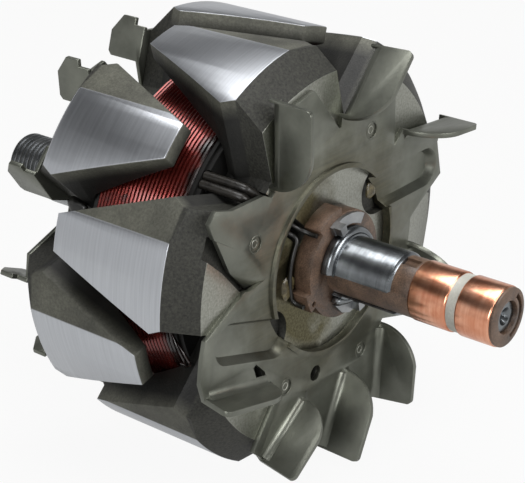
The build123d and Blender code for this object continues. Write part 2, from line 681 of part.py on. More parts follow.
def fan_slip_end():
    """Stamped fan with eight upright blades, two pressed channels, a turned wing and weld marks."""
    back = PACK_START
    front = back - FAN_SHEET
    flat = Circle(FAN_ROOT_RADIUS) + polygon(SLIP_FAN_PLAIN_SPOKE)
    for inner, outer, height, lean, edge in SLIP_FAN:
        flat = flat + spoke(inner, outer, edge)
    flat = flat - polygon(SLIP_FAN_SLIT) - Circle(FAN_HOLE_RADIUS)
    body = slab(flat, front, back)
    for inner, outer, height, lean, edge in SLIP_FAN:
        outline = swept_blade(inner, outer, height + FAN_SHEET, lean)
        body = body + upright(inner, outer, back, -1, outline)
        body = body + bend(inner, outer, back, -1, FAN_SHEET, BEND_RADIUS)
        body = body - bend(inner, outer, back, -1, 0, BEND_RADIUS + FAN_SHEET)
    body = body + wing()
    body = body + ring(FAN_HOLE_RADIUS, FAN_HOLE_RADIUS + FAN_SHEET, front - FAN_LIP_HEIGHT, front)
    eye = slab(Circle(FAN_HOLE_RADIUS), front - FAN_LIP_HEIGHT, back + CHANNEL_DEPTH + 1)
    for first, last in SLIP_FAN_CHANNELS:
        body = body + channel_body(first, last, CHANNEL_WIDTH + 2 * FAN_SHEET, back, CHANNEL_DEPTH) - eye
        body = body - channel_body(first, last, CHANNEL_WIDTH, front, CHANNEL_DEPTH)
        body = body - slab(channel_face(first, last, CHANNEL_WIDTH), front - FAN_LIP_HEIGHT, front)
    for angle in SLIP_FAN_WELDS:
        x, z = polar(WELD_CIRCLE_RADIUS, angle)
        body = body - slab(Pos(x, z) * Circle(WELD_RADIUS), front, front + WELD_DEPTH)
    body = body - slab(polygon(SLIP_FAN_RELIEF), front, back)
    x, z = polar(*SLIP_FAN_SMALL_HOLE)
    return body - slab(Pos(x, z) * Circle(FAN_HOLE_SMALL), front, back)


def fan_drive_end():
    """Stamped fan behind the drive-end half, with notched square blades."""
    back = PACK_END
    front = back + FAN_SHEET
    count = len(DRIVE_FAN_BLADES)
    flat = Circle(FAN_ROOT_RADIUS)
    for index, (radius, angle, inner_angle) in enumerate(DRIVE_FAN_BLADES):
        before = DRIVE_FAN_BLADES[index - 1]
        gap = (angle - before[2]) % 360
        inner = (DRIVE_BLADE_INNER_RADIUS, inner_angle)
        notched = short_of((radius, angle), inner, BLADE_NOTCH[0] + 0.8)
        low = (radius - DRIVE_SPOKE_STEP, angle - gap * 0.30)
        foot = (FAN_ROOT_RADIUS, angle - gap * 0.72)
        flat = flat + spoke(inner, notched, [low, foot])
    body = slab(flat - Circle(FAN_HOLE_RADIUS), back, front)
    for radius, angle, inner_angle in DRIVE_FAN_BLADES:
        inner = (DRIVE_BLADE_INNER_RADIUS, inner_angle)
        outline = straight_blade(inner, (radius, angle), DRIVE_BLADE_HEIGHT + FAN_SHEET)
        body = body + upright(inner, (radius, angle), back, 1, outline)
    body = body + ring(FAN_HOLE_RADIUS, FAN_HOLE_RADIUS + FAN_SHEET, front, front + FAN_LIP_HEIGHT)
    for angle in DRIVE_FAN_WELDS:
        x, z = polar(WELD_CIRCLE_RADIUS, angle)
        body = body - slab(Pos(x, z) * Circle(WELD_RADIUS), front - WELD_DEPTH, front)
    return body


def drive_end_spacer():
    """Steel sleeve that the drive-end bearing seats against."""
    return ring(POLE_BORE_RADIUS, SPACER_SLEEVE_RADIUS, SPACER_SLEEVE_START, SPACER_SLEEVE_END)


PIECES = {
    "rotor_shaft": rotor_shaft(),
    "pole_half_slip_end": pole_half_slip_end(),
    "pole_half_drive_end": pole_half_drive_end(),
    "field_core": field_core(),
    "coil_bobbin": coil_bobbin(),
    "field_winding": field_winding(),
    "fan_slip_end": fan_slip_end(),
    "fan_drive_end": fan_drive_end(),
    "slip_ring_inner": slip_ring(INNER_RING_START, INNER_RING_WIDTH),
    "slip_ring_outer": slip_ring(OUTER_RING_START, OUTER_RING_WIDTH),
    "slip_ring_spacer": slip_ring_spacer(),
    "slip_ring_moulding": slip_ring_moulding(),
    "ring_lead_bar_inner": lead_bar_inner(),
    "ring_lead_bar_outer": lead_bar_outer(),
    "terminal_hook_lower": terminal_hook(polygon(LOWER_HOOK), LOWER_TAB_ANGLE),
    "terminal_hook_upper": terminal_hook_upper(),
    "coil_lead_upper": coil_lead_upper(),
    "coil_lead_lower": coil_lead_lower(),
    "lead_sleeve_upper": lead_sleeve(-1),
    "lead_sleeve_lower": lead_sleeve(1),
    "bearing_stop_ring": bearing_stop_ring(),
    "drive_end_spacer": drive_end_spacer(),
}

os.makedirs("parts", exist_ok=True)
for name, piece in PIECES.items():
    export_step(piece, f"parts/{name}.step")
    print(name, round(piece.volume), "mm3")
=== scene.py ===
# %% [markdown]
# The subject is the rotor of a vehicle alternator, lying on its claws with the slip rings towards us.
# The CAD model is already packed as a fixed frame: every piece here sits in that frame, in metres,
# with the shaft along Y, the slip rings towards -Y and up along +Z.

# %% Load the frame
from math import cos, pi, radians, sin

import bmesh
import bpy
from mathutils import Matrix, Vector, noise


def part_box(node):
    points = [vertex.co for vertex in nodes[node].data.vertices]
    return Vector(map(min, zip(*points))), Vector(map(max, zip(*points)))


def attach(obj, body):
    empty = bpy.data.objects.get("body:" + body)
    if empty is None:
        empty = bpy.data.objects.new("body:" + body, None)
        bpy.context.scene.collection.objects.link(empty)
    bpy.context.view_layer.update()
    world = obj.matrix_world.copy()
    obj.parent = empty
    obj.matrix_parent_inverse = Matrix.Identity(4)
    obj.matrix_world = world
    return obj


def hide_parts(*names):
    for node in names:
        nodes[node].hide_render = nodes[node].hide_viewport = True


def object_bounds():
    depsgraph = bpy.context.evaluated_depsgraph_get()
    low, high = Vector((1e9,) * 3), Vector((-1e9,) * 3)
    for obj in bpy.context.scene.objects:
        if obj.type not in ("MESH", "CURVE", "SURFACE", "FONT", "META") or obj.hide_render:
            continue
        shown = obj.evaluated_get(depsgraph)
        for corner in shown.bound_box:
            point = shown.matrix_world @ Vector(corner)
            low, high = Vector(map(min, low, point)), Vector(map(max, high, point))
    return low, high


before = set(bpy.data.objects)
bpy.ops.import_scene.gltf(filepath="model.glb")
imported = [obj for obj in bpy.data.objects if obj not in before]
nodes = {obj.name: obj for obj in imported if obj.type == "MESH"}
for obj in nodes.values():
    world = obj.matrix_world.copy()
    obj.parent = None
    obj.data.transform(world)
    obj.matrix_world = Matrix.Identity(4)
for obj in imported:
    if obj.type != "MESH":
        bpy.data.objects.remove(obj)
cad_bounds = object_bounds()
MM = 0.001
print(len(nodes), "CAD nodes, box", [tuple(round(v, 4) for v in corner) for corner in cad_bounds])

# %% [markdown]
# ## Camera
# The camera stands where the photograph was taken from. Its place was found from the circles of the
# slip rings and the fan's eye, whose shapes tell the viewing angle and the distance. A long lens
# (about 115 mm) gives the mild perspective of a product picture. Its tilt is the only rotation
# besides the heading, so upright things stay upright.

# %% Place the camera
CAMERA_PLACE = Vector((-289.3, -198.1, 167.3)) * MM
CAMERA_HEADING = 51.16
CAMERA_TILT = 24.42
LENS = 115.46
CLAWS_MIDDLE = Vector((0, 41.5, 0))

camera_data = bpy.data.cameras.new("camera")
camera_data.lens = LENS
camera_data.sensor_width = 36.0
camera_data.clip_start = 0.01
camera_data.clip_end = 20.0
camera = bpy.data.objects.new("camera", camera_data)
camera.location = CAMERA_PLACE
camera.rotation_euler = (radians(90 - CAMERA_TILT), 0, radians(-CAMERA_HEADING))
bpy.context.scene.collection.objects.link(camera)
bpy.context.scene.camera = camera
bpy.context.scene.view_settings.view_transform = "Standard"
print("camera", (CAMERA_PLACE - CLAWS_MIDDLE * MM).length, "m from the middle of the claws")

# %% [markdown]
# ## Helpers for materials
# Colours are written as the hex values that a colour picker shows, and one function turns them into
# the linear values that the renderer works in. One more function adds a node, fills in its settings
# and makes its links, so that each material below reads as a short list.

# %% Colour and node helpers
def linear(hex_colour):
    """A colour as a picker shows it, such as 8A8D90, in the renderer's linear values."""
    values = [int(hex_colour[i : i + 2], 16) / 255 for i in (0, 2, 4)]
    values = [v / 12.92 if v <= 0.04045 else ((v + 0.055) / 1.055) ** 2.4 for v in values]
    return (*values, 1.0)


def add_node(tree, kind, settings=None, links=None):
    """Add a node; settings name its properties or inputs, links name inputs and the sockets they take."""
    made = tree.nodes.new(kind)
    for name, value in (settings or {}).items():
        if isinstance(name, int) or name in made.inputs:
            made.inputs[name].default_value = value
        else:
            setattr(made, name, value)
    for name, socket in (links or {}).items():
        tree.links.new(socket, made.inputs[name])
    return made


def new_material(name):
    """An empty material with its tree to fill."""
    material = bpy.data.materials.new(name)
    material.use_nodes = True
    tree = material.node_tree
    tree.nodes.clear()
    return material, tree


def finish_material(tree, settings, links):
    """The surface shader and the output, with bump or colour coming in through links."""
    shader = add_node(tree, "ShaderNodeBsdfPrincipled", settings, links)
    add_node(tree, "ShaderNodeOutputMaterial", links={"Surface": shader.outputs["BSDF"]})


def per_mm(size):
    """Texture scale that gives features of about this many millimetres."""
    return 1000.0 / size


print("mid grey in linear values", round(linear("808080")[0], 3))

# %% [markdown]
# ## Ground and forged steel
# The two pole halves are hot-forged steel: a dark olive-grey scale with a fine grain. In the deep
# gaps between the claws the colour is painted almost black, as painted shade. After assembly the
# claws' outer faces are turned to one diameter, which leaves a bright band, and the end faces are
# skimmed. So one material reads where a point lies: its distance from the shaft's axis says whether
# it is a ground land or a deep side in painted shade, and its place along the axis says whether it
# is an end face or a shoulder.

# %% Where a point lies
LAND_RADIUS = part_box("pole_half_slip_end")[1].x
LAND_STARTS = LAND_RADIUS - 0.14 * MM
LAND_FULL = LAND_RADIUS - 0.06 * MM
# painted shade: between these distances from the axis the steel darkens to black, in the deep gaps
GAP_SHADE_STARTS = 51.2 * MM
GAP_SHADE_FULL = 47.8 * MM

PACK_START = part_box("pole_half_slip_end")[0].y
PACK_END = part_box("pole_half_drive_end")[1].y
PACK_MIDDLE = (PACK_START + PACK_END) / 2
# these lie along the shaft and count from the middle of the pack
SHOULDER_STARTS = 20.1 * MM
SHOULDER_FULL = 20.6 * MM
END_FACE = PACK_END - PACK_MIDDLE - 0.06 * MM


def axis_distance(tree, parts):
    """The distance from the shaft's axis, worked out from a point's separate coordinates."""
    flat = add_node(tree, "ShaderNodeCombineXYZ", links={"X": parts.outputs["X"], "Z": parts.outputs["Z"]})
    length = add_node(tree, "ShaderNodeVectorMath", {"operation": "LENGTH"}, {0: flat.outputs[0]})
    return length.outputs["Value"]


print("lands are bright from", round(LAND_FULL / MM, 2), "mm outwards")

# %% Patterns and colours
DRAWN_ROUND = (0.03, 1.0, 0.03)


def turning_marks(tree, coordinates, spacing):
    """Noise drawn out round the shaft, so that it makes rings this many millimetres apart."""
    stretch = add_node(tree, "ShaderNodeMapping", {"Scale": DRAWN_ROUND}, {0: coordinates.outputs["Object"]})
    return add_node(tree, "ShaderNodeTexNoise", {"Scale": per_mm(spacing), "Detail": 3.0},
                    {0: stretch.outputs[0]})


def cloudy(tree, coordinates, size, detail=3.0):
    """Soft noise with patches of about this many millimetres."""
    return add_node(tree, "ShaderNodeTexNoise", {"Scale": per_mm(size), "Detail": detail, "Roughness": 0.6},
                    {0: coordinates.outputs["Object"]})


def two_tone(tree, value, dark, light, low=0.3, high=0.7):
    """A ramp from a dark to a light colour."""
    ramp = add_node(tree, "ShaderNodeValToRGB", links={0: value})
    ramp.color_ramp.elements[0].color = linear(dark)
    ramp.color_ramp.elements[0].position = low
    ramp.color_ramp.elements[1].color = linear(light)
    ramp.color_ramp.elements[1].position = high
    return ramp.outputs[0]


def blend(tree, share, first, second):
    """One colour over another, by a share from 0 to 1."""
    mixed = add_node(tree, "ShaderNodeMix", {"data_type": "RGBA"}, {0: share, 6: first, 7: second})
    return mixed.outputs[2]


print("turning marks are", round(1 / DRAWN_ROUND[0]), "times as long as they are wide")

# %% Skimmed end face
STAIN_WANDER = 30 * MM
STAIN_SIDE = (18 * MM, 8 * MM)
STAIN_HUB = (26 * MM, 20 * MM)


def end_face_colour(tree, parts, radius, cloud, grain):
    """Bright where the face was skimmed, brown with resin on one side of the hub."""
    side = add_node(tree, "ShaderNodeMath", {"operation": "MULTIPLY_ADD", 1: STAIN_WANDER},
                    {0: cloud.outputs["Fac"], 2: parts.outputs["X"]})
    left = add_node(tree, "ShaderNodeMapRange", {"From Min": STAIN_SIDE[0], "From Max": STAIN_SIDE[1]},
                    {"Value": side.outputs[0]})
    inward = add_node(tree, "ShaderNodeMapRange", {"From Min": STAIN_HUB[0], "From Max": STAIN_HUB[1]},
                      {"Value": radius})
    stain = add_node(tree, "ShaderNodeMath", {"operation": "MULTIPLY"},
                     {0: left.outputs[0], 1: inward.outputs[0]})
    skimmed = two_tone(tree, grain.outputs["Fac"], "85867D", "A6A79F")
    stained = two_tone(tree, grain.outputs["Fac"], "46412F", "6E6A52")
    return blend(tree, stain.outputs[0], skimmed, stained)


print("resin stains the end face from", round(STAIN_HUB[0] / MM), "mm inwards")

# %% Pole half steel
def pole_steel():
    material, tree = new_material("forged_steel_with_ground_lands")
    coordinates = add_node(tree, "ShaderNodeTexCoord")
    parts = add_node(tree, "ShaderNodeSeparateXYZ", links={0: coordinates.outputs["Object"]})
    radius = axis_distance(tree, parts)
    grain = cloudy(tree, coordinates, 0.6, 4.0)
    cloud = cloudy(tree, coordinates, 11.0)
    marks = turning_marks(tree, coordinates, 0.5)

    # the ground land: everything within a tenth of a millimetre of the outside diameter
    land = add_node(tree, "ShaderNodeMapRange", {"From Min": LAND_STARTS, "From Max": LAND_FULL},
                    {"Value": radius})
    # painted shade: deep places, nearer the axis than the claws' bevels, are painted black
    gap_shade = add_node(tree, "ShaderNodeMapRange", {"From Min": GAP_SHADE_STARTS, "From Max": GAP_SHADE_FULL},
                    {"Value": radius})
    # the skimmed end faces and the shoulders: a fixed distance from the middle, on either side
    offset = add_node(tree, "ShaderNodeMath", {"operation": "SUBTRACT", 1: PACK_MIDDLE},
                      {0: parts.outputs["Y"]})
    either = add_node(tree, "ShaderNodeMath", {"operation": "ABSOLUTE"}, {0: offset.outputs[0]})
    face = add_node(tree, "ShaderNodeMath", {"operation": "GREATER_THAN", 1: END_FACE},
                    {0: either.outputs[0]})
    shoulder = add_node(tree, "ShaderNodeMapRange", {"From Min": SHOULDER_STARTS, "From Max": SHOULDER_FULL},
                        {"Value": either.outputs[0]})

    scale = two_tone(tree, cloud.outputs["Fac"], "46463F", "68685E")
    speckle = two_tone(tree, grain.outputs["Fac"], "8A8A84", "FFFFFF")
    speckled = add_node(tree, "ShaderNodeMix", {"data_type": "RGBA", "blend_type": "MULTIPLY", 0: 0.6},
                        {6: scale, 7: speckle})
    # painted shade for the deep gaps between the claws: near black
    painted_gap_shade = two_tone(tree, cloud.outputs["Fac"], "0C0C0B", "232320")
    colour = blend(tree, gap_shade.outputs[0], speckled.outputs[2], painted_gap_shade)
    # the sloping shoulders at both ends keep the blackest scale
    black_scale = two_tone(tree, grain.outputs["Fac"], "161613", "383832")
    colour = blend(tree, shoulder.outputs[0], colour, black_scale)
    ground = two_tone(tree, marks.outputs["Fac"], "B6B9BE", "C2C5CA")
    colour = blend(tree, land.outputs[0], colour, ground)
    skimmed = end_face_colour(tree, parts, radius, cloud, grain)
    colour = blend(tree, face.outputs[0], colour, skimmed)

    # cut metal is smoother, barer and flatter than scale
    bright = add_node(tree, "ShaderNodeMath", {"operation": "MAXIMUM"},
                      {0: land.outputs[0], 1: face.outputs[0]})
    polish = add_node(tree, "ShaderNodeMapRange", {"To Min": 0.55, "To Max": 0.30},
                      {"Value": bright.outputs[0]})
    roughness = add_node(tree, "ShaderNodeMath", {"operation": "MULTIPLY_ADD", 1: 0.06},
                         {0: marks.outputs["Fac"], 2: polish.outputs[0]})
    metal = add_node(tree, "ShaderNodeMapRange", {"To Min": 0.25, "To Max": 1.0},
                     {"Value": bright.outputs[0]})
    depth = add_node(tree, "ShaderNodeMapRange", {"To Min": 0.55, "To Max": 0.05},
                     {"Value": bright.outputs[0]})
    bump = add_node(tree, "ShaderNodeBump", {"Distance": 0.15 * MM},
                    {"Height": grain.outputs["Fac"], "Strength": depth.outputs[0]})
    finish_material(tree, {}, {"Base Color": colour, "Roughness": roughness.outputs[0],
                               "Metallic": metal.outputs[0], "Normal": bump.outputs[0]})
    return material


POLE_STEEL = pole_steel()
print("pole halves:", POLE_STEEL.name)

# %% [markdown]
# Handling and tumbling rub the dark film off every sharp edge. The bevels that soften the edges get
# this rubbed steel of their own, which draws the thin light lines that outline each claw and blade.
# The fans' sheared edges are made lighter still, a painted highlight along each edge of the sheet.

# %% Rubbed edges
def rubbed_edge(name, dark, light):
    """Steel worn in patches, some dark and some bright."""
    material, tree = new_material(name)
    coordinates = add_node(tree, "ShaderNodeTexCoord")
    wear = cloudy(tree, coordinates, 2.5, 4.0)
    colour = two_tone(tree, wear.outputs["Fac"], dark, light, 0.35, 0.62)
    roughness = add_node(tree, "ShaderNodeMapRange", {"To Min": 0.30, "To Max": 0.48},
                         {"Value": wear.outputs["Fac"]})
    finish_material(tree, {"Metallic": 0.9}, {"Base Color": colour, "Roughness": roughness.outputs[0]})
    return material


FORGED_EDGE = rubbed_edge("rubbed_edge_of_forging", "55554F", "A3A39A")
# the fans' sheared edges: bare worn steel, made lighter as a painted highlight along the edges
SHEARED_EDGE_AND_HIGHLIGHT = rubbed_edge("sheared_edge_with_painted_highlight", "74756C", "BEBFB5")
print("edges:", FORGED_EDGE.name, SHEARED_EDGE_AND_HIGHLIGHT.name)

# %% [markdown]
# ## Stamped sheet, turned steel and copper
# The fans are cut and bent from rolled steel sheet with a thin oily film: an olive-grey metal with
# long faint rolling lines and brown stains where the varnish of the coil has run. The shaft and
# the slip rings are turned, so their marks run round the axis.

# %% Fan sheet
DRAWN_LONG = (0.05, 1.0, 1.0)
FAN_STAIN_WANDER = 22 * MM
FAN_STAIN = (46 * MM, 30 * MM)


def fan_sheet():
    material, tree = new_material("rolled_steel_sheet_oiled")
    coordinates = add_node(tree, "ShaderNodeTexCoord")
    parts = add_node(tree, "ShaderNodeSeparateXYZ", links={0: coordinates.outputs["Object"]})
    radius = axis_distance(tree, parts)
    stretch = add_node(tree, "ShaderNodeMapping", {"Scale": DRAWN_LONG}, {0: coordinates.outputs["Object"]})
    rolling = add_node(tree, "ShaderNodeTexNoise", {"Scale": per_mm(0.8), "Detail": 3.0},
                       {0: stretch.outputs[0]})
    cloud = cloudy(tree, coordinates, 14.0, 4.0)
    clean = two_tone(tree, cloud.outputs["Fac"], "5E6058", "7E8077")
    # varnish stains gather towards the eye of the fan
    spread = add_node(tree, "ShaderNodeMath", {"operation": "MULTIPLY_ADD", 1: FAN_STAIN_WANDER},
                      {0: cloud.outputs["Fac"], 2: radius})
    stain = add_node(tree, "ShaderNodeMapRange",
                     {"From Min": FAN_STAIN[0], "From Max": FAN_STAIN[1], "To Max": 0.8},
                     {"Value": spread.outputs[0]})
    brown = two_tone(tree, rolling.outputs["Fac"], "3E3A2B", "5C5742")
    colour = blend(tree, stain.outputs[0], clean, brown)
    roughness = add_node(tree, "ShaderNodeMapRange", {"To Min": 0.30, "To Max": 0.44},
                         {"Value": rolling.outputs["Fac"]})
    bump = add_node(tree, "ShaderNodeBump", {"Distance": 0.03 * MM, "Strength": 0.25},
                    {"Height": rolling.outputs["Fac"]})
    finish_material(tree, {"Metallic": 0.85}, {"Base Color": colour, "Roughness": roughness.outputs[0],
                                               "Normal": bump.outputs[0]})
    return material


FAN_SHEET_STEEL = fan_sheet()
print("fans:", FAN_SHEET_STEEL.name)

# %% Turned metals
def turned_metal(name, dark, light, rough, spacing, depth):
    """A metal turned in a lathe: two close colours and fine rings round the shaft."""
    material, tree = new_material(name)
    coordinates = add_node(tree, "ShaderNodeTexCoord")
    marks = turning_marks(tree, coordinates, spacing)
    cloud = cloudy(tree, coordinates, 5.0)
    mixed = add_node(tree, "ShaderNodeMath", {"operation": "MULTIPLY_ADD", 1: 0.5},
                     {0: marks.outputs["Fac"], 2: cloud.outputs["Fac"]})
    roughness = add_node(tree, "ShaderNodeMapRange", {"To Min": rough, "To Max": rough + 0.07},
                         {"Value": cloud.outputs["Fac"]})
    bump = add_node(tree, "ShaderNodeBump", {"Distance": 0.01 * MM, "Strength": depth},
                    {"Height": marks.outputs["Fac"]})
    finish_material(tree, {"Metallic": 1.0},
                    {"Base Color": two_tone(tree, mixed.outputs[0], dark, light, 0.55, 0.95),
                     "Roughness": roughness.outputs[0], "Normal": bump.outputs[0]})
    return material


# real turning marks are too fine to show in the picture, so these are drawn coarser
SHAFT_STEEL = turned_metal("ground_shaft_steel", "64676A", "83878A", 0.22, 0.5, 0.06)
THREAD_STEEL = turned_metal("rolled_thread_steel", "6C6E70", "9A9C9E", 0.30, 0.9, 0.15)
RING_COPPER = turned_metal("turned_copper_brush_track", "D48C6C", "EFB496", 0.20, 0.6, 0.04)
TINNED = turned_metal("tinned_brass_terminal", "85878A", "A9ABAC", 0.34, 0.9, 0.2)
print("turned metals:", SHAFT_STEEL.name, THREAD_STEEL.name, RING_COPPER.name, TINNED.name)

# %% [markdown]
# ## Plastics, varnish and enamel
# The slip rings sit on a brown thermoset moulding with a fine mineral filler, and a pale ring parts
# them. The coil's copper wire has a red-brown enamel, and the whole coil is dipped in a dark
# varnish that stays thick in some patches and runs off the crowns of the wires in others. The
# coil's end nearer the slip rings, which lies under the claws, is painted dark as painted shade.
# Lumps of the same varnish, cured to an olive-brown resin, hold the leads down beside the collar.

# %% Moulded plastics and resin
def moulded(name, dark, light, rough, speck, depth=0.4):
    """A moulded plastic with a cloudy colour and a fine filler grain of the given size."""
    material, tree = new_material(name)
    coordinates = add_node(tree, "ShaderNodeTexCoord")
    filler = cloudy(tree, coordinates, speck)
    cloud = cloudy(tree, coordinates, 5.0)
    both = add_node(tree, "ShaderNodeMath", {"operation": "MULTIPLY"},
                    {0: filler.outputs["Fac"], 1: cloud.outputs["Fac"]})
    roughness = add_node(tree, "ShaderNodeMapRange", {"To Min": rough, "To Max": rough + 0.15},
                         {"Value": cloud.outputs["Fac"]})
    bump = add_node(tree, "ShaderNodeBump", {"Distance": 0.04 * MM, "Strength": depth},
                    {"Height": filler.outputs["Fac"]})
    finish_material(tree, {"IOR": 1.5},
                    {"Base Color": two_tone(tree, both.outputs[0], dark, light, 0.14, 0.38),
                     "Roughness": roughness.outputs[0], "Normal": bump.outputs[0]})
    return material


BROWN_MOULDING = moulded("brown_phenolic_moulding", "33261D", "685242", 0.36, 0.35)
PALE_INSULATION = moulded("pale_insulating_ring", "9C9B93", "BBBAB2", 0.45, 0.30)
BLACK_BOBBIN = moulded("black_varnished_bobbin", "040404", "12110F", 0.45, 0.60)
SLEEVE_CLOTH = moulded("varnished_glass_sleeve", "0D0C0B", "34312C", 0.30, 0.25, 0.8)
CURED_RESIN = moulded("cured_varnish_resin", "2B2517", "6A6144", 0.20, 1.2)
BLACK_VARNISH = moulded("thick_black_varnish", "060605", "1B1A17", 0.25, 1.0)
print("moulded and poured:", BROWN_MOULDING.name, PALE_INSULATION.name, CURED_RESIN.name)

# %% Enamelled wire
# painted shade: the coil darkens towards its end nearer the slip rings, with a boundary that wanders by this
# much
SHADE_EDGE_WANDER = 8 * MM
PAINTED_SHADE_END = (37.5 * MM, 34.5 * MM)


def wire_enamel():
    material, tree = new_material("red_enamelled_copper_wire")
    coordinates = add_node(tree, "ShaderNodeTexCoord")
    parts = add_node(tree, "ShaderNodeSeparateXYZ", links={0: coordinates.outputs["Object"]})
    cloud = cloudy(tree, coordinates, 7.0)
    # painted shade darkens the coil's end nearer the slip rings, which lies under the claws; varnish darkens
    # it in patches elsewhere
    along = add_node(tree, "ShaderNodeMath", {"operation": "MULTIPLY_ADD", 1: SHADE_EDGE_WANDER},
                     {0: cloud.outputs["Fac"], 2: parts.outputs["Y"]})
    end = add_node(tree, "ShaderNodeMapRange", {"From Min": PAINTED_SHADE_END[0], "From Max": PAINTED_SHADE_END[1]},
                   {"Value": along.outputs[0]})
    patch = add_node(tree, "ShaderNodeMapRange", {"From Min": 0.60, "From Max": 0.70, "To Max": 0.8},
                     {"Value": cloud.outputs["Fac"]})
    varnish = add_node(tree, "ShaderNodeMath", {"operation": "MAXIMUM"},
                       {0: end.outputs[0], 1: patch.outputs[0]})
    enamel = two_tone(tree, cloud.outputs["Fac"], "5C1B15", "86302A")
    # near black: thick varnish in the patches, painted shade at the coil's end
    varnished = two_tone(tree, cloud.outputs["Fac"], "0A0605", "24100C")
    colour = blend(tree, varnish.outputs[0], enamel, varnished)
    metal = add_node(tree, "ShaderNodeMapRange", {"To Min": 0.7, "To Max": 0.15},
                     {"Value": varnish.outputs[0]})
    finish_material(tree, {"Roughness": 0.22, "Coat Weight": 0.5, "Coat Roughness": 0.12},
                    {"Base Color": colour, "Metallic": metal.outputs[0]})
    return material


WIRE_ENAMEL = wire_enamel()
print("finishes so far:", len([m for m in bpy.data.materials if m.use_nodes]))

# %% [markdown]
# ## Softened edges
# The CAD solids have knife-sharp edges. A forging, a stamping and a moulding all have small
# rounds, and it is these rounds that catch the light. So a copy of each CAD node is merged into a
# connected mesh, its flat facets are joined, and every edge sharper than a given angle is bevelled.
# Where a piece has two finishes, the second one goes on the bevels. The copy then stands for the
# node, which stays in the frame for the physics.

# %% Place a finished piece
SHADED_SHARP_FROM = 35


def show_smooth(piece):
    """Shade smooth across shallow edges and flat across sharp ones."""
    for polygon in piece.data.polygons:
        polygon.use_smooth = True
    piece.data.set_sharp_from_angle(angle=radians(SHADED_SHARP_FROM))


def place(piece, material, slot, *replaced):
    """Link a finished piece, give it its finish or finishes, and let it ride on the rotor's one body."""
    if piece.name not in bpy.context.scene.collection.objects:
        bpy.context.scene.collection.objects.link(piece)
    piece.data.materials.clear()
    for finish in material if isinstance(material, tuple) else (material,):
        piece.data.materials.append(finish)
    if piece.type == "MESH":
        show_smooth(piece)
    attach(piece, "root")
    if replaced:
        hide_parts(*replaced)
    print(piece.name, "placed")


# %% Make a softened copy of a CAD node
ROUNDED_FROM = 32
FLAT_WITHIN = 0.6


def joined_copy(node):
    """A bmesh of a CAD node with its loose triangles merged and its flat areas made whole faces."""
    mesh = bmesh.new()
    mesh.from_mesh(nodes[node].data)
    bmesh.ops.remove_doubles(mesh, verts=mesh.verts, dist=1e-6)
    bmesh.ops.dissolve_limit(mesh, angle_limit=radians(FLAT_WITHIN), verts=mesh.verts, edges=mesh.edges)
    return mesh


def soften(mesh, width, edge_finish=0):
    """Round every sharp edge of a bmesh with a bevel this many mm wide, and give the bevels their finish."""
    sharp = [e for e in mesh.edges if len(e.link_faces) == 2 and e.calc_face_angle() > radians(ROUNDED_FROM)]
    made = bmesh.ops.bevel(mesh, geom=sharp, offset=width * MM, offset_type="OFFSET", segments=2, profile=0.5,
                           affect="EDGES", clamp_overlap=True, material=-1)
    for face in made["faces"]:
        face.material_index = edge_finish


def to_object(mesh, name):
    """Turn a bmesh into an object at the origin."""
    data = bpy.data.meshes.new(name)
    mesh.to_mesh(data)
    mesh.free()
    return bpy.data.objects.new(name, data)


SOFTENED = {
    "pole_half_slip_end": (0.45, (POLE_STEEL, FORGED_EDGE), "forged_steel"),
    "pole_half_drive_end": (0.45, (POLE_STEEL, FORGED_EDGE), "forged_steel"),
    "fan_slip_end": (0.20, (FAN_SHEET_STEEL, SHEARED_EDGE_AND_HIGHLIGHT), "stamped_steel"),
    "fan_drive_end": (0.20, (FAN_SHEET_STEEL, SHEARED_EDGE_AND_HIGHLIGHT), "stamped_steel"),
    "slip_ring_moulding": (0.18, (BROWN_MOULDING,), "brown_moulding"),
    "bearing_stop_ring": (0.35, (SHAFT_STEEL,), "machined_steel"),
    "slip_ring_inner": (0.22, (RING_COPPER,), "ring_copper"),
    "slip_ring_outer": (0.22, (RING_COPPER,), "ring_copper"),
}
for node, (width, finishes, slot) in SOFTENED.items():
    softened = joined_copy(node)
    soften(softened, width, edge_finish=len(finishes) - 1)
    place(to_object(softened, node + "_dressed"), finishes, slot, node)

# %% [markdown]
# ## The winding
# The coil is one long enamelled wire wound turn beside turn. A round section is spun about the
# shaft, moving along it by one wire's width each turn, which gives a true helix. The turns are then
# pushed in towards the ends of the coil, where the layer is a little lower, and each is nudged
# slightly, because a coil wound by machine is close but never perfect. A plain drum under the
# top layer stands for the layers below.

# %% Wind the wire
WIRE = 1.05
WIRE_SIDES = 8
WINDING_LOW, WINDING_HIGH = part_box("field_winding")
CROWN_RADIUS = WINDING_HIGH.x / MM
LAYER_RADIUS = CROWN_RADIUS - WIRE / 2
WINDING_START = WINDING_LOW.y / MM
WINDING_LENGTH = (WINDING_HIGH.y - WINDING_LOW.y) / MM
FIRST_TURN = WINDING_START + WIRE * 0.8
TURNS = int(WINDING_LENGTH / WIRE) - 1
STEPS_PER_TURN = 90
END_DROP = 0.75
NUDGE = 0.16
NUDGE_PATCH = 6.25


